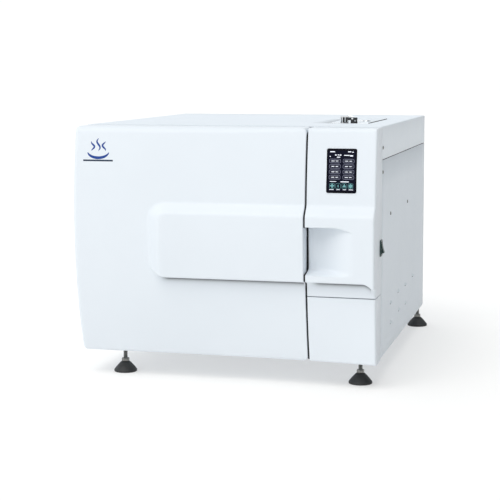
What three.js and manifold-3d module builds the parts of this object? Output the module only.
// Benchtop steam autoclave, about 45 litres, in millimetres, +Z up.
// The front looks along -Y, the door hangs on the left, the control column stands on the right.
// Everything is built about a datum at the plane between moulded front and sheet-metal body,
// then moved so that the origin is at the centre of the footprint, on the bench.
import * as THREE from 'three';
import { mergeVertices } from 'three/addons/utils/BufferGeometryUtils.js';
import Module from 'manifold-3d';

const wasm = await Module();
wasm.setup();

// ---------------------------------------------------------------- driving dimensions

const GAP = 0.3;                 // clearance between pieces that rest against each other

// Sheet-metal body
const BODY_HALF = 281.5;         // half width of the sheet-metal body
const BODY_DEPTH = 664;          // from the front frame to the rear panel
const BODY_BOTTOM = 46;          // underside above the bench
const BODY_TOP = 476;            // top of the cover above the bench
const SHEET = 2;                 // panel thickness
const SKIRT_BOTTOM = 415.5;      // lower edge of the top cover's side skirts
const REAR_DEPTH = 12;           // how far the rear fittings stand out

// Moulded front: door and control column
const MOULD_LEFT = -285;
const MOULD_RIGHT = 285;
const MOULD_BOTTOM = 47;
const MOULD_TOP = 475.5;
const DOOR_RIGHT = 156.4;        // right edge of the door
const COLUMN_LEFT = 159.4;       // left edge of the control column
const MOULD_WALL = 4.2;          // wall thickness of the mouldings
const FRONT_Y = -76;             // the plain front at its foremost line
const BULGE_Z = 310;             // height of that line
const LOWER_RADIUS = 750;        // side-view curve below that line
const UPPER_RADIUS = 900;        // side-view curve above that line
const LOWER_FADE = 0.65;         // share of the lower curve lost at the right-hand edge
const FADE_POWER = 3.5;
const TOP_ROUND = 12;
const SIDE_ROUND = 9;
const SEAM_ROUND = 3;
const BOTTOM_ROUND = 4;
const DOOR_BACK = -6;
const COLUMN_BACK = -0.5;

// Raised band across the door and the column
const BAND_HEIGHT = 16;
const BAND_LEFT = -134;
const BAND_TOP = 340;
const BAND_BOTTOM = 199;
const BAND_SLOPE = 18;
const BAND_CORNER = 32;

// Grip recess in the column, beside the door's edge
const GRIP_RIGHT = 243;
const GRIP_BOTTOM = 211;
const GRIP_TOP = 299;
const GRIP_DEPTH = 34;

// Control column
const COVER_TOP = 170.2;         // top edge of the service cover
const COLUMN_BOTTOM = 171.7;     // bottom edge of the column above it
const SCREEN_X = 222.3;
const SCREEN_Z = 400.3;
const SCREEN_WIDTH = 56;
const SCREEN_HEIGHT = 80;
const SCREEN_TILT = 0.102;       // leans back with the moulding
const SWITCH_Y = -13;
const SWITCH_Z = 256.5;

// Pressure chamber
const CHAMBER_X = -62;
const CHAMBER_Z = 261;
const CHAMBER_RADIUS = 170;      // bore
const CHAMBER_WALL = 4;
const CHAMBER_LENGTH = 500;
const FLANGE_RADIUS = 192;
const FLANGE_FRONT = -4;
const FLANGE_BACK = 18;

// Door ironwork
const HINGE_X = -273;
const HINGE_Y = -18;
const HINGE_RADIUS = 12;         // rounding of the door's rear left corner about the hinge
const PLATE_RADIUS = 186;

// Service cover hinge
const COVER_HINGE_X = 280;
const COVER_HINGE_Y = -6;

// Levelling feet
const FOOT_PAD_RADIUS = 22;
const FOOT_PAD_HEIGHT = 19.5;
const FOOT_NUT_HEIGHT = 6.5;
const FOOT_STEM_RADIUS = 4;
const FEET = {
  front_left: [-213, 12],
  front_right: [246, 8],
  rear_left: [-213, 645],
  rear_right: [272, 645],
};

// Highest, foremost, rearmost and outermost points, which place the origin
const SWITCH_OUT = 7;
const X_MIN = MOULD_LEFT;
const X_MAX = MOULD_RIGHT + SWITCH_OUT;
const Y_MIN = FRONT_Y - BAND_HEIGHT;
const Y_MAX = BODY_DEPTH + REAR_DEPTH;

// ---------------------------------------------------------------- materials

const paint = (color, roughness, metalness = 0) => new THREE.MeshStandardMaterial({ color, roughness, metalness });
const WHITE_MOULDING = paint(0xf0f4f8, 0.35);
const WHITE_SHEET = paint(0xdfe5ea, 0.45);
const STEEL = paint(0xb8bcc0, 0.3, 1);
const CHROME = paint(0xd8dadd, 0.1, 1);
const RUBBER = paint(0x2a2b2c, 0.8);
const SILICONE = paint(0xd9c9a8, 0.7);
const BLACK_PLASTIC = paint(0x16181a, 0.4);
const GLASS = paint(0x06070c, 0.08);
const ALUMINIUM = paint(0xc4c7ca, 0.45, 1);
const WOOL = paint(0xcfd2cf, 0.95);
const BRASS = paint(0xb99a52, 0.35, 1);
const TANK = paint(0xe6ebee, 0.5);
const BOARD = paint(0x1c5a3a, 0.6);
const IRON = paint(0x4a4e52, 0.6, 0.8);

// ---------------------------------------------------------------- solids

function signedVolume(geometry) {
  const p = geometry.attributes.position;
  const index = geometry.index;
  const [a, b, c] = [new THREE.Vector3(), new THREE.Vector3(), new THREE.Vector3()];
  let volume = 0;
  for (let i = 0; i < index.count; i += 3) {
    a.fromBufferAttribute(p, index.getX(i));
    b.fromBufferAttribute(p, index.getX(i + 1));
    c.fromBufferAttribute(p, index.getX(i + 2));
    volume += a.dot(b.cross(c)) / 6;
  }
  return volume;
}

// Merge shared corners, drop triangles without area, and face the surface outwards.
function closed(geometry) {
  const bare = geometry.clone();
  bare.deleteAttribute('normal');
  bare.deleteAttribute('uv');
  const merged = mergeVertices(bare, 1e-3);
  const kept = [];
  for (let i = 0; i < merged.index.count; i += 3) {
    const t = [merged.index.getX(i), merged.index.getX(i + 1), merged.index.getX(i + 2)];
    if (t[0] !== t[1] && t[1] !== t[2] && t[0] !== t[2]) {
      kept.push(...t);
    }
  }
  merged.setIndex(kept);
  if (signedVolume(merged) < 0) {
    for (let i = 0; i < kept.length; i += 3) {
      [kept[i], kept[i + 1]] = [kept[i + 1], kept[i]];
    }
    merged.setIndex(kept);
  }
  return merged;
}

function toManifold(geometry) {
  const g = closed(geometry);
  const vertProperties = new Float32Array(g.attributes.position.array);
  const triVerts = new Uint32Array(g.index.array);
  return new wasm.Manifold(new wasm.Mesh({ numProp: 3, vertProperties, triVerts }));
}

function fromManifold(solid) {
  const mesh = solid.getMesh();
  const geometry = new THREE.BufferGeometry();
  geometry.setAttribute('position', new THREE.BufferAttribute(mesh.vertProperties, 3));
  geometry.setIndex(new THREE.BufferAttribute(mesh.triVerts, 1));
  return geometry;
}

const cut = (base, ...tools) => fromManifold(tools.reduce((s, t) => s.subtract(toManifold(t)), toManifold(base)));
const join = (base, ...extras) => fromManifold(extras.reduce((s, t) => s.add(toManifold(t)), toManifold(base)));

const model = new THREE.Group();
const cabinet = new THREE.Group();
cabinet.position.set(-(X_MIN + X_MAX) / 2, -(Y_MIN + Y_MAX) / 2, 0);
model.add(cabinet);

function piece(name, geometry, material) {
  const solid = closed(geometry);
  solid.computeVertexNormals();
  const mesh = new THREE.Mesh(solid, material);
  mesh.name = name;
  cabinet.add(mesh);
  return mesh;
}

// A block between two corners.
function block(x0, x1, y0, y1, z0, z1) {
  const g = new THREE.BoxGeometry(x1 - x0, y1 - y0, z1 - z0);
  return g.translate((x0 + x1) / 2, (y0 + y1) / 2, (z0 + z1) / 2);
}

// A round bar along an axis; p and q are its centre along the other two axes, in X, Y, Z order.
function rod(axis, radius, from, to, p, q, sides = 20) {
  const g = new THREE.CylinderGeometry(radius, radius, to - from, sides);
  const mid = (from + to) / 2;
  if (axis === 'x') {
    return g.rotateZ(Math.PI / 2).translate(mid, p, q);
  }
  if (axis === 'y') {
    return g.translate(p, mid, q);
  }
  return g.rotateX(Math.PI / 2).translate(p, q, mid);
}

function extruded(points, holes, depth) {
  const shape = new THREE.Shape(points.map(([a, b]) => new THREE.Vector2(a, b)));
  for (const hole of holes) {
    shape.holes.push(new THREE.Path(hole.map(([a, b]) => new THREE.Vector2(a, b))));
  }
  return new THREE.ExtrudeGeometry(shape, { depth, bevelEnabled: false });
}

// Prisms: an outline in X,Y raised along Z; in X,Z raised along Y; in Y,Z raised along X.
function prismZ(points, z0, z1, holes = []) {
  return extruded(points, holes, z1 - z0).translate(0, 0, z0);
}

function prismY(points, y0, y1, holes = []) {
  return extruded(points, holes, y1 - y0).rotateX(Math.PI / 2).translate(0, y1, 0);
}

function prismX(points, x0, x1, holes = []) {
  const turn = new THREE.Matrix4().set(0, 0, 1, x0, 1, 0, 0, 0, 0, 1, 0, 0, 0, 0, 0, 1);
  return extruded(points, holes, x1 - x0).applyMatrix4(turn);
}

function circle(cx, cy, radius, sides = 24) {
  return Array.from({ length: sides }, (_, i) => {
    const a = (2 * Math.PI * i) / sides;
    return [cx + radius * Math.cos(a), cy + radius * Math.sin(a)];
  });
}

function rectangle(x0, x1, y0, y1) {
  return [[x0, y0], [x1, y0], [x1, y1], [x0, y1]];
}

// Turned pieces: profile of [radius, distance along the axis].
function turnedY(profile, x, z, sides = 32) {
  const points = profile.map(([r, y]) => new THREE.Vector2(r, y));
  return new THREE.LatheGeometry(points, sides).translate(x, 0, z);
}

function turnedZ(profile, x, y, sides = 24) {
  const points = profile.map(([r, z]) => new THREE.Vector2(r, z));
  return new THREE.LatheGeometry(points, sides).rotateX(Math.PI / 2).translate(x, y, 0);
}

// A round bar or tube bent along a list of points.
function bentBar(points, radius, sides = 8, steps = 16) {
  const path = new THREE.CatmullRomCurve3(points.map((p) => new THREE.Vector3(...p)), false, 'catmullrom', 0.1);
  const section = new THREE.Shape(circle(0, 0, radius, sides).map(([a, b]) => new THREE.Vector2(a, b)));
  return new THREE.ExtrudeGeometry(section, { steps, extrudePath: path, bevelEnabled: false });
}

// ---------------------------------------------------------------- the moulded front's surface

function bulge(x, z) {
  const dz = z - BULGE_Z;
  if (dz > 0) {
    return UPPER_RADIUS - Math.sqrt(UPPER_RADIUS ** 2 - dz ** 2);
  }
  const across = Math.min(1, Math.max(0, (x - MOULD_LEFT) / (MOULD_RIGHT - MOULD_LEFT)));
  const fade = 1 - LOWER_FADE * across ** FADE_POWER;
  return fade * (LOWER_RADIUS - Math.sqrt(LOWER_RADIUS ** 2 - dz ** 2));
}

const smooth = (t) => t * t * (3 - 2 * t);
const clamp01 = (t) => Math.min(1, Math.max(0, t));

// 0 on the plain front, 1 on the band: soft slopes at its left and top, a sharp lower edge.
function bandRise(x, z) {
  if (z < BAND_BOTTOM) {
    return 0;
  }
  const toLeft = Math.max(0, BAND_LEFT + BAND_CORNER - x);
  const toTop = Math.max(0, z - (BAND_TOP - BAND_CORNER));
  const inside = BAND_CORNER - Math.hypot(toLeft, toTop);
  return smooth(clamp01(inside / BAND_SLOPE));
}

function edgeRound(distance, radius) {
  const d = Math.max(0, distance);
  return d >= radius ? 0 : radius - Math.sqrt(radius ** 2 - (radius - d) ** 2);
}

// Y of the moulded front at (x, z) on a panel with edges and edge radii.
function frontY(x, z, panel) {
  const plain = FRONT_Y + bulge(x, z) - BAND_HEIGHT * bandRise(x, z);
  const sides = edgeRound(x - panel.left, panel.leftRound) + edgeRound(panel.right - x, panel.rightRound);
  return plain + sides + edgeRound(panel.top - z, panel.topRound) + edgeRound(z - panel.bottom, panel.bottomRound);
}

// A slab whose front follows a surface y = front(x, z) on the given grid and whose back is flat.
function slab(xs, zs, back, front) {
  const g = new THREE.BoxGeometry(1, 1, 1, xs.length - 1, 1, zs.length - 1);
  const p = g.attributes.position;
  for (let i = 0; i < p.count; i += 1) {
    const x = xs[Math.round((p.getX(i) + 0.5) * (xs.length - 1))];
    const z = zs[Math.round((p.getZ(i) + 0.5) * (zs.length - 1))];
    p.setXYZ(i, x, p.getY(i) < 0 ? front(x, z) : back, z);
  }
  return g;
}

const DOOR = {
  left: MOULD_LEFT,
  right: DOOR_RIGHT,
  top: MOULD_TOP,
  bottom: MOULD_BOTTOM,
  leftRound: SIDE_ROUND,
  rightRound: SEAM_ROUND,
  topRound: TOP_ROUND,
  bottomRound: BOTTOM_ROUND,
};
const COLUMN = { ...DOOR, left: COLUMN_LEFT, right: MOULD_RIGHT, leftRound: SEAM_ROUND, rightRound: SIDE_ROUND };
const BAND_LINES_Z = [198.9, 199.1, 240, 280, 308, 318, 325, 332, 340];

// ---------------------------------------------------------------- sheet-metal body

function buildBody() {
  const back = BODY_DEPTH;
  const low = BODY_BOTTOM;

  let base = prismX([
    [0, low + 20], [0, low], [back, low], [back, low + 20],
    [back - SHEET, low + 20], [back - SHEET, low + SHEET], [SHEET, low + SHEET], [SHEET, low + 20],
  ], -BODY_HALF + SHEET + GAP, BODY_HALF - SHEET - GAP);
  for (const [x, y] of Object.values(FEET)) {
    base = cut(base, rod('z', FOOT_STEM_RADIUS + GAP, low - 5, low + 10, x, y, 16));
  }
  piece('base_plate', base, WHITE_SHEET);

  const outline = rectangle(0, back, low, SKIRT_BOTTOM - 1);
  piece('side_panel_left', prismX(outline, -BODY_HALF, -BODY_HALF + SHEET), WHITE_SHEET);

  // Short louvre slots in a loose diamond, to let warm air out of the pump bay
  const louvres = [[476, 139], [361, 136], [253, 138], [145, 132], [363, 97], [263, 99], [147, 93]];
  const slots = louvres.map(([y, z]) => block(BODY_HALF - 10, BODY_HALF + 10, y - 9, y + 9, z - 1.5, z + 1.5));
  const right = prismX(outline, BODY_HALF - SHEET, BODY_HALF);
  piece('side_panel_right', cut(right, ...slots), WHITE_SHEET);

  // Top cover with skirts down both sides and a rectangular pocket opening over the tank
  const top = BODY_TOP;
  const skirt = prismY([
    [-BODY_HALF, SKIRT_BOTTOM], [-BODY_HALF + SHEET, SKIRT_BOTTOM], [-BODY_HALF + SHEET, top - SHEET],
    [BODY_HALF - SHEET, top - SHEET], [BODY_HALF - SHEET, SKIRT_BOTTOM], [BODY_HALF, SKIRT_BOTTOM],
    [BODY_HALF, top], [-BODY_HALF, top],
  ], 0, back);
  piece('top_cover', cut(skirt, block(148, 234, 164, 412, top - 10, top + 5)), WHITE_SHEET);

  // Front frame: carries the chamber flange; round opening, striker slot and valve holes
  const inner = BODY_HALF - SHEET - GAP;
  const frame = prismY(
    rectangle(-inner, inner, low + 21, top - SHEET - GAP), GAP, GAP + SHEET,
    [
      circle(CHAMBER_X, CHAMBER_Z, FLANGE_RADIUS + 1, 48),
      rectangle(133.5, 154.5, 236, 272),
      circle(192, 108, 7.5, 16),
      circle(226, 108, 7.5, 16),
      circle(250, 234, 12, 16),
    ],
  );
  piece('front_frame', frame, WHITE_SHEET);

  // Rear panel with the fan opening, the mains inlet cut-out and two drain holes
  const rear = prismY(
    rectangle(-inner, inner, low + 21, top - SHEET - GAP), back - SHEET, back,
    [
      circle(-170, 330, 52, 32),
      rectangle(193, 231, 88, 118),
      circle(60, 100, 7.5, 16),
    ],
  );
  piece('rear_panel', rear, WHITE_SHEET);
}

// ---------------------------------------------------------------- control column

function gripCutter() {
  // Plan view: deepest beside the door, sweeping out to the surface at the right
  const outline = [[COLUMN_LEFT - 3, -120]];
  const steps = 10;
  outline.push([COLUMN_LEFT - 3, FRONT_Y - BAND_HEIGHT + GRIP_DEPTH]);
  for (let i = 0; i <= steps; i += 1) {
    const t = i / steps;
    const x = 176 + (GRIP_RIGHT - 176) * t;
    outline.push([x, FRONT_Y - BAND_HEIGHT + GRIP_DEPTH * (1 - smooth(t)) - (t === 1 ? 1 : 0)]);
  }
  outline.push([GRIP_RIGHT, -120]);
  return prismZ(outline, GRIP_BOTTOM, GRIP_TOP);
}

function buildColumn() {
  const panel = { ...COLUMN, bottom: COLUMN_BOTTOM, bottomRound: 0 };
  const xs = [COLUMN_LEFT, COLUMN_LEFT + 1, COLUMN_LEFT + 3, 200, 240, 262, 276, 279, 282, 284.2, 285];
  const zs = [COLUMN_BOTTOM, ...BAND_LINES_Z, 400, 440, 463.5, 467, 471, 474, MOULD_TOP];
  const outer = slab(xs, zs, COLUMN_BACK, (x, z) => frontY(x, z, panel));
  const wall = MOULD_WALL;
  const inset = (x, z) => FRONT_Y + bulge(x, z) + wall;
  const upper = slab([COLUMN_LEFT + wall, 220, MOULD_RIGHT - wall], [303, 340, 380, 420, MOULD_TOP - wall - 6], 5, inset);
  const lower = block(COLUMN_LEFT + wall, MOULD_RIGHT - wall, -54, 5, COLUMN_BOTTOM + wall, 299.5);
  const window = block(-28.4, 28.4, -30, 20, -40.4, 40.4).rotateX(-SCREEN_TILT).translate(SCREEN_X, -70, SCREEN_Z);
  const switchHole = block(MOULD_RIGHT - 10, MOULD_RIGHT + 5, SWITCH_Y - 9.5, SWITCH_Y + 9.5, SWITCH_Z - 13, SWITCH_Z + 13);
  const pinHole = rod('z', 2.6, COLUMN_BOTTOM - 5, COLUMN_BOTTOM + 20, COVER_HINGE_X, COVER_HINGE_Y, 16);
  piece('control_column', cut(outer, upper, lower, gripCutter(), window, switchHole, pinHole), WHITE_MOULDING);

  const screen = block(-SCREEN_WIDTH / 2, SCREEN_WIDTH / 2, -4.6, 1.4, -SCREEN_HEIGHT / 2, SCREEN_HEIGHT / 2);
  piece('touch_screen', screen.rotateX(-SCREEN_TILT).translate(SCREEN_X, -67, SCREEN_Z), GLASS);

  // Mains rocker switch in the column's right side: bezel, then the rocker pivoting on a Y axis
  const bezel = cut(
    join(
      block(MOULD_RIGHT + GAP, MOULD_RIGHT + 2, SWITCH_Y - 11, SWITCH_Y + 11, SWITCH_Z - 15, SWITCH_Z + 15),
      block(MOULD_RIGHT - 16, MOULD_RIGHT + 1, SWITCH_Y - 9, SWITCH_Y + 9, SWITCH_Z - 12.5, SWITCH_Z + 12.5),
    ),
    block(MOULD_RIGHT - 13, MOULD_RIGHT + 5, SWITCH_Y - 7.5, SWITCH_Y + 7.5, SWITCH_Z - 11.6, SWITCH_Z + 11.6),
  );
  piece('rocker_bezel', bezel, BLACK_PLASTIC);
  const rockerOutline = [[285, -9], [292, -9], [289.4, 0], [288, 9], [284, 9], [279.5, 4], [279.5, -4]];
  const rocker = prismY(rockerOutline.map(([x, z]) => [x, z + SWITCH_Z]), SWITCH_Y - 7, SWITCH_Y + 7);
  piece('power_rocker', rocker, BLACK_PLASTIC);
}

// ---------------------------------------------------------------- service cover below the column

function buildServiceCover() {
  const panel = { ...COLUMN, top: COVER_TOP, topRound: 0 };
  const xs = [COLUMN_LEFT, COLUMN_LEFT + 1, COLUMN_LEFT + 3, 220, 262, 276, 279, 282, 284.2, 285];
  const zs = [MOULD_BOTTOM, 48, 51, 80, 110, 140, COVER_TOP];
  const outer = slab(xs, zs, -1, (x, z) => frontY(x, z, panel));
  const wall = 3.5;
  const inset = (x, z) => FRONT_Y + bulge(x, z) + wall;
  const hollow = slab([COLUMN_LEFT + wall, 220, MOULD_RIGHT - wall], [MOULD_BOTTOM + wall, 100, COVER_TOP - wall], 5, inset);
  // Barrels round the hinge pin, and the rear edge rounded about it
  const [hx, hy] = [COVER_HINGE_X, COVER_HINGE_Y];
  const barrels = [[70, 92], [128, 150]].map(([z0, z1]) => rod('z', 4.2, z0, z1, hx, hy, 16));
  const arc = [0, 22.5, 45, 67.5, 90].map((d) => (d * Math.PI) / 180);
  const corner = [[hx, 3], [hx + 9, 3], [hx + 9, hy]];
  corner.push(...arc.map((a) => [hx + 5 * Math.cos(a), hy + 5 * Math.sin(a)]));
  const pinWay = rod('z', 2.7, MOULD_BOTTOM + wall + 5, COVER_TOP + 5, hx, hy, 16);
  const notches = [[56, 68], [152, 164]].map(([z0, z1]) => block(262, 283.5, -15, 2, z0, z1));
  const backLip = block(COLUMN_LEFT - 5, 272, -30, 2, MOULD_BOTTOM + wall, COVER_TOP - wall);
  const shell = join(cut(outer, hollow, backLip), ...barrels);
  piece('service_cover', cut(shell, prismZ(corner, 40, 180), pinWay, ...notches), WHITE_MOULDING);

  const lug = [[265, -0.3], [265, -4], [271, -8.2], [280, -8.2], [282, -6], [280, -3.8], [274.5, -3.8], [273.5, -0.3]];
  const hinge = join(
    rod('z', 2.2, 58, COLUMN_BOTTOM + 8, hx, hy, 16),
    prismZ(lug, 58, 66),
    prismZ(lug, 154, 162),
    block(262, 273.5, -2.5, -0.3, 58, 162),
  );
  piece('service_cover_hinge', hinge, STEEL);
}

// ---------------------------------------------------------------- door

function buildDoor() {
  const xs = [-285, -284.2, -282, -279, -276, -210, -134, -128, -122, -116, -40, 60, 153.4, 155.4, 156.4];
  const zs = [MOULD_BOTTOM, 48, 51, 80, 110, 140, 170, ...BAND_LINES_Z, 380, 420, 463.5, 467, 471, 474, MOULD_TOP];
  const outer = slab(xs, zs, DOOR_BACK, (x, z) => frontY(x, z, DOOR));
  const wall = MOULD_WALL;
  const inset = (x, z) => FRONT_Y + bulge(x, z) + wall;
  const hollowX = [DOOR.left + wall, -150, 0, DOOR.right - wall];
  const hollow = slab(hollowX, [MOULD_BOTTOM + wall, 90, 150, 220, 310, 400, MOULD_TOP - wall - 6], 5, inset);
  // Rear left corner rounded about the hinge, and a notch for the hinge bracket
  const [hx, hy] = [HINGE_X, HINGE_Y];
  const corner = [[hx, hy + 20], [hx - 20, hy + 20], [hx - 20, hy]];
  for (let i = 0; i <= 5; i += 1) {
    const a = Math.PI - (i * Math.PI) / 10;
    corner.push([hx + HINGE_RADIUS * Math.cos(a), hy + HINGE_RADIUS * Math.sin(a)]);
  }
  const notch = block(DOOR.left - 5, hx - 4, -33, 5, 189, 333);
  piece('door_shell', cut(outer, hollow, prismZ(corner, 0, 500), notch), WHITE_MOULDING);

  const liner = prismY(
    rectangle(-261, 151, 53, 463), -9.5, -8,
    [circle(CHAMBER_X, CHAMBER_Z, PLATE_RADIUS + 2, 48)],
  );
  piece('door_liner', cut(liner, block(134, 160, -20, 0, 236, 272)), WHITE_SHEET);

  const dish = [
    [0, -31], [100, -31], [150, -25], [PLATE_RADIUS, -25], [PLATE_RADIUS, -10],
    [165, -10], [150, -14], [100, -20], [0, -20],
  ];
  piece('door_plate', turnedY(dish, CHAMBER_X, CHAMBER_Z, 40), STEEL);
  const seal = [[173, -9.7], [184, -9.7], [184, -5], [180, -4.4], [177, -4.4], [173, -5], [173, -9.7]];
  piece('door_gasket', turnedY(seal, CHAMBER_X, CHAMBER_Z, 40), SILICONE);

  // Swing arm: barrel round the pin, gooseneck past the flange, bar across the pressure plate
  const armPlan = [
    [hx - 7, hy], [hx - 7, -44], [hx + 1, -51], [135.7, -51], [135.7, -34],
    [-255, -34], [hx + 7, -28], [hx + 7, hy], [hx + 4.9, hy + 4.9], [hx, hy + 7], [hx - 4.9, hy + 4.9],
  ];
  const arm = cut(prismZ(armPlan, 231, 291), rod('z', 4.4, 200, 320, hx, hy, 16));
  const barrel = cut(
    join(rod('z', 7, 218.5, 303.5, hx, hy, 20), block(hx - 7, hx + 7, -33, hy, 218.5, 303.5)),
    rod('z', 4.4, 200, 320, hx, hy, 16),
  );
  const hub = rod('y', 40, -50, -31.3, CHAMBER_X, CHAMBER_Z, 24);
  piece('door_arm', join(arm, barrel, hub), STEEL);

  // Fixed hinge bracket and pin
  const lugPlan = [[hx - 7, -4], [hx - 7, hy], [hx - 4.9, hy - 4.9], [hx, hy - 7], [hx + 4.9, hy - 4.9], [hx + 7, hy], [hx + 7, -4]];
  const lugs = [[196, 218], [304, 326]].map(([z0, z1]) => prismZ(lugPlan, z0, z1));
  const bracket = join(block(hx - 7, -258, -4.3, 0, 196, 326), ...lugs);
  const pinBore = rod('z', 4.4, 180, 340, hx, hy, 16);
  piece('hinge_bracket', cut(bracket, pinBore, block(-300, -250, -GAP / 10, 5, 180, 340)), STEEL);
  const pin = join(rod('z', 4, 190, 327, hx, hy, 16), rod('z', 6.5, 326.4, 331, hx, hy, 16));
  piece('hinge_pin', pin, STEEL);

  // Striker on the arm's free end, reaching back through the front frame to the lock bolt
  const strikerPlan = [[136, -51], [149, -51], [149, 20], [139, 20], [139, -34], [136, -34]];
  const striker = cut(prismZ(strikerPlan, 240, 268), block(130, 160, 2, 14, 247, 261));
  piece('door_striker', striker, STEEL);
}

function buildLock() {
  const housing = cut(
    block(160, 216, GAP + SHEET + GAP, 46, 238, 270),
    rod('x', 5, 150, 208, 8, 254, 16),
  );
  piece('lock_housing', housing, BLACK_PLASTIC);
  piece('lock_bolt', rod('x', 4.5, 158, 206, 8, 254, 16), STEEL);
}

// ---------------------------------------------------------------- chamber and trays

function buildChamber() {
  const inside = CHAMBER_RADIUS;
  const outside = inside + CHAMBER_WALL;
  const end = FLANGE_FRONT + CHAMBER_LENGTH;
  const profile = [
    [inside, FLANGE_FRONT], [FLANGE_RADIUS, FLANGE_FRONT], [FLANGE_RADIUS, FLANGE_BACK], [outside, FLANGE_BACK],
    [outside, end - 30], [outside - 20, end - 6], [120, end + 12], [60, end + 20], [0, end + 22],
    [0, end + 18], [60, end + 16], [120, end + 8], [inside - 19, end - 8], [inside, end - 31], [inside, FLANGE_FRONT],
  ];
  piece('chamber_vessel', turnedY(profile, CHAMBER_X, CHAMBER_Z, 40), STEEL);
  const jacket = [
    [outside + 1, 24], [outside + 13, 24], [outside + 13, end - 34], [outside + 1, end - 34], [outside + 1, 24],
  ];
  piece('chamber_insulation', turnedY(jacket, CHAMBER_X, CHAMBER_Z, 32), WOOL);

  // Tray rack: two ladder sides joined by cross bars, with ledges for three trays
  const levels = [-78, -8, 62];
  const [y0, y1] = [20, 450];
  const parts = [];
  for (const side of [-1, 1]) {
    const x = CHAMBER_X + side * 124;
    for (const y of [y0, (y0 + y1) / 2, y1]) {
      parts.push(block(x - 2, x + 2, y - 6, y + 6, CHAMBER_Z - 92, CHAMBER_Z + 84));
    }
    for (const level of levels) {
      const edge = x - side * 12;
      parts.push(block(Math.min(x, edge), Math.max(x, edge), y0 - 6, y1 + 6, CHAMBER_Z + level - 2, CHAMBER_Z + level));
    }
  }
  for (const y of [y0, y1]) {
    parts.push(block(CHAMBER_X - 125, CHAMBER_X + 125, y - 6, y + 6, CHAMBER_Z - 92, CHAMBER_Z - 89));
    parts.push(block(CHAMBER_X - 125, CHAMBER_X + 125, y - 6, y + 6, CHAMBER_Z + 82, CHAMBER_Z + 84));
  }
  piece('tray_rack', join(...parts), STEEL);
  const names = ['tray_lower', 'tray_middle', 'tray_upper'];
  levels.forEach((level, i) => {
    const z = CHAMBER_Z + level + GAP;
    const [x0, x1] = [CHAMBER_X - 120, CHAMBER_X + 120];
    const pan = cut(block(x0, x1, y0 - 4, y1 + 2, z, z + 18), block(x0 + 1.5, x1 - 1.5, y0 - 2.5, y1 + 0.5, z + 1.5, z + 30));
    piece(names[i], pan, STEEL);
  });
}

// ---------------------------------------------------------------- services behind and beside the chamber

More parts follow.
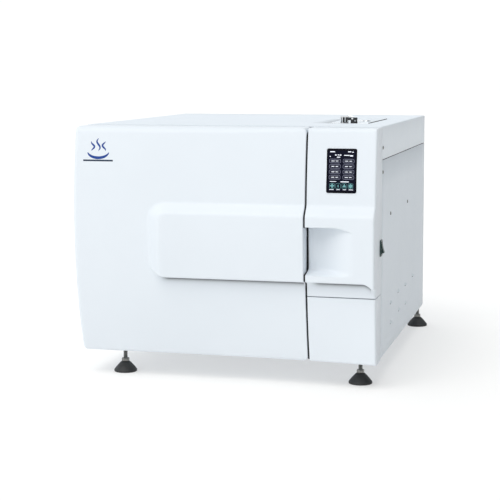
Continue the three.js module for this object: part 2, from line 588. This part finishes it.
function buildServices() {
  // Steam generator: upright boiler with a flanged heater head
  piece('steam_generator', turnedZ([
    [0, 70], [40, 70], [46, 78], [46, 226], [56, 226], [56, 236], [30, 236], [30, 250], [0, 250],
  ], 210, 570, 28), STEEL);

  // Vacuum pump: finned head and motor on one axis, standing on the base
  const pumpHead = join(
    block(-92, -26, 534, 614, 49, 128),
    rod('x', 9, -26, -10, 574, 100, 16),
  );
  piece('vacuum_pump', pumpHead, ALUMINIUM);
  const motor = join(
    rod('x', 38, -216, -92.3, 574, 92, 24),
    block(-200, -110, 544, 604, 49, 80),
  );
  piece('pump_motor', motor, IRON);

  // Condenser block with fins, and its axial fan behind it
  const fins = [];
  for (let i = 0; i < 9; i += 1) {
    const z = 276 + i * 13;
    fins.push(block(-226, -114, 566, 606, z, z + 3));
  }
  const headers = [block(-232, -222, 560, 612, 268, 392), block(-118, -108, 560, 612, 268, 392)];
  piece('condenser', join(...headers, ...fins), ALUMINIUM);

  const fanFrame = cut(
    block(-230, -110, 628, BODY_DEPTH - SHEET - GAP, 270, 390),
    rod('y', 54, 620, 670, -170, 330, 32),
  );
  const spokes = [0, 1, 2].map((i) => {
    const bar = block(-2.5, 2.5, 628, 631, 0, 56);
    return bar.rotateY((i * 2 * Math.PI) / 3).translate(-170, 0, 330);
  });
  piece('fan_frame', join(fanFrame, rod('y', 18, 628, 631, -170, 330, 20), ...spokes), BLACK_PLASTIC);
  const blades = [];
  for (let i = 0; i < 7; i += 1) {
    const blade = block(-11, 11, -0.9, 0.9, 14, 50).rotateZ(0.5);
    blades.push(blade.rotateY((i * 2 * Math.PI) / 7).translate(-170, 646, 330));
  }
  piece('fan_impeller', join(rod('y', 19, 634, 658, -170, 330, 20), ...blades), BLACK_PLASTIC);

  // Clean-water tank under the top pocket, waste tank on the base
  const clean = cut(
    block(142, 272, 226, 430, 330, 470),
    block(145, 269, 229, 427, 333, 467),
    block(157, 225, 234, 404, 460, 480),
  );
  piece('clean_water_tank', clean, TANK);
  const waste = cut(block(142, 272, 200, 430, 50, 190), block(145, 269, 203, 427, 53, 187), rod('z', 16, 180, 200, 207, 240, 20));
  piece('waste_water_tank', waste, TANK);

  // Flush lid over the tank's mouth, hinged along its rear edge
  const lidTop = BODY_TOP;
  const lid = join(
    block(150, 232, 226, 408, lidTop - 3, lidTop),
    rod('x', 2.6, 160, 222, 407.4, lidTop - 2.6, 12),
  );
  piece('tank_lid', lid, WHITE_SHEET);

  // Electronics on the right-hand side
  const board = join(
    block(262, 264, 60, 190, 200, 330),
    block(250, 262.5, 76, 110, 230, 250),
    block(246, 262.5, 130, 170, 280, 312),
    block(254, 262.5, 80, 170, 210, 222),
  );
  piece('control_board', board, BOARD);
  piece('power_supply', block(196, 268, 100, 180, 60, 180), ALUMINIUM);

  // Valve manifold between boiler, chamber and pump
  const manifold = join(
    block(150, 180, 470, 520, 300, 330),
    rod('z', 11, 330, 366, 165, 483, 16),
    rod('z', 11, 330, 366, 165, 508, 16),
    rod('x', 6, 180, 196, 495, 315, 12),
  );
  piece('valve_manifold', manifold, BRASS);

  const inlet = join(
    block(188, 236, BODY_DEPTH + GAP, BODY_DEPTH + 3, 84, 122),
    block(195, 229, BODY_DEPTH - 24, BODY_DEPTH + 1, 90, 116),
  );
  const socket = block(199, 225, BODY_DEPTH - 14, BODY_DEPTH + 5, 94, 112);
  const pins = [203, 212, 221].map((x) => block(x - 1, x + 1, BODY_DEPTH - 16, BODY_DEPTH - 1, 101, 105));
  piece('mains_inlet', join(cut(inlet, socket), ...pins), BLACK_PLASTIC);

  const port = cut(
    turnedY([
      [0, BODY_DEPTH - 20], [6.5, BODY_DEPTH - 20], [6.5, BODY_DEPTH + GAP], [11, BODY_DEPTH + GAP],
      [11, BODY_DEPTH + 4], [6, BODY_DEPTH + 4], [7, BODY_DEPTH + REAR_DEPTH - 4], [5.5, BODY_DEPTH + REAR_DEPTH],
      [0, BODY_DEPTH + REAR_DEPTH],
    ], 60, 100, 20),
    rod('y', 3.5, BODY_DEPTH - 30, BODY_DEPTH + 20, 60, 100, 12),
  );
  piece('exhaust_port', port, BRASS);
}

// Drain valves and air filter behind the service cover
function buildServiceBay() {
  for (const [name, x] of [['clean', 192], ['waste', 226]]) {
    const body = cut(
      join(
        rod('y', 7, -14, 20, x, 108, 16),
        block(x - 8, x + 8, -16, 0, 98, 118),
        rod('z', 5, 84, 100, x, -8, 12),
      ),
      rod('z', 3, 80, 104, x, -8, 12),
    );
    piece(`drain_valve_${name}`, body, BRASS);
    const knob = join(
      rod('y', 7, -22, -16.3, x, 108, 16),
      block(x - 2.5, x + 2.5, -26, -20, 94, 122),
    );
    piece(`drain_knob_${name}`, knob, BLACK_PLASTIC);
  }
}

// ---------------------------------------------------------------- safety valve in the top pocket

function buildSafetyValve() {
  const top = BODY_TOP;
  const [vx, vy] = [180, 198];
  const plate = block(150, 232, 166, 224, top - 4, top - 2);
  const tower = turnedZ([
    [0, top - 40], [9, top - 40], [9, top - 3], [9, top], [7, top + 1], [7, top + 9], [8.5, top + 10],
    [8.5, top + 13], [4, top + 14], [0, top + 14],
  ], vx, vy, 20);
  const post = join(
    block(vx + 11, vx + 26, vy - 7, vy + 7, top - 3, top + 7),
    block(vx + 6, vx + 12, vy - 4, vy + 4, top + 2, top + 6),
  );
  const forkGap = block(vx + 18, vx + 30, vy - 2, vy + 2, top + 1, top + 20);
  const pivotHole = rod('y', 1.5, vy - 10, vy + 10, vx + 22, top + 4, 12);
  piece('safety_valve_body', cut(join(plate, tower, post), forkGap, pivotHole), CHROME);

  // Pull lever pivoting in the fork, with a ring at its free end
  const ring = new THREE.TorusGeometry(7, 1.1, 8, 20);
  const lever = join(
    block(vx + 19.5, vx + 38, vy - 1.6, vy + 1.6, top + 2.6, top + 5.4),
    ring.translate(vx + 44, vy, top + 4),
    rod('y', 1.1, vy - 6.5, vy + 6.5, vx + 22, top + 4, 10),
  );
  piece('safety_valve_lever', lever, CHROME);
}

// ---------------------------------------------------------------- levelling feet

function buildFeet() {
  const low = BODY_BOTTOM;
  for (const [place, [x, y]] of Object.entries(FEET)) {
    piece(`foot_pad_${place}`, turnedZ([
      [0, 0], [FOOT_PAD_RADIUS - 1, 0], [FOOT_PAD_RADIUS, 1.5], [FOOT_PAD_RADIUS, 4], [FOOT_PAD_RADIUS - 2.6, 8],
      [14, 13.8], [9, 18.5], [7.5, FOOT_PAD_HEIGHT], [FOOT_STEM_RADIUS + GAP, FOOT_PAD_HEIGHT], [FOOT_STEM_RADIUS + GAP, 8], [0, 8],
    ], x, y, 20), RUBBER);
    piece(`foot_stem_${place}`, rod('z', FOOT_STEM_RADIUS, 8 + GAP, low + 26, x, y, 16), STEEL);
    const seat = FOOT_PAD_HEIGHT + GAP;
    const nut = cut(
      rod('z', 7.5, seat, seat + FOOT_NUT_HEIGHT, x, y, 6),
      rod('z', FOOT_STEM_RADIUS + GAP, seat - 5, seat + 12, x, y, 16),
    );
    piece(`foot_locknut_${place}`, nut, STEEL);
  }
}

buildBody();
buildColumn();
buildServiceCover();
buildDoor();
buildLock();
buildChamber();
buildServices();
buildServiceBay();
buildSafetyValve();
buildFeet();

export default model;
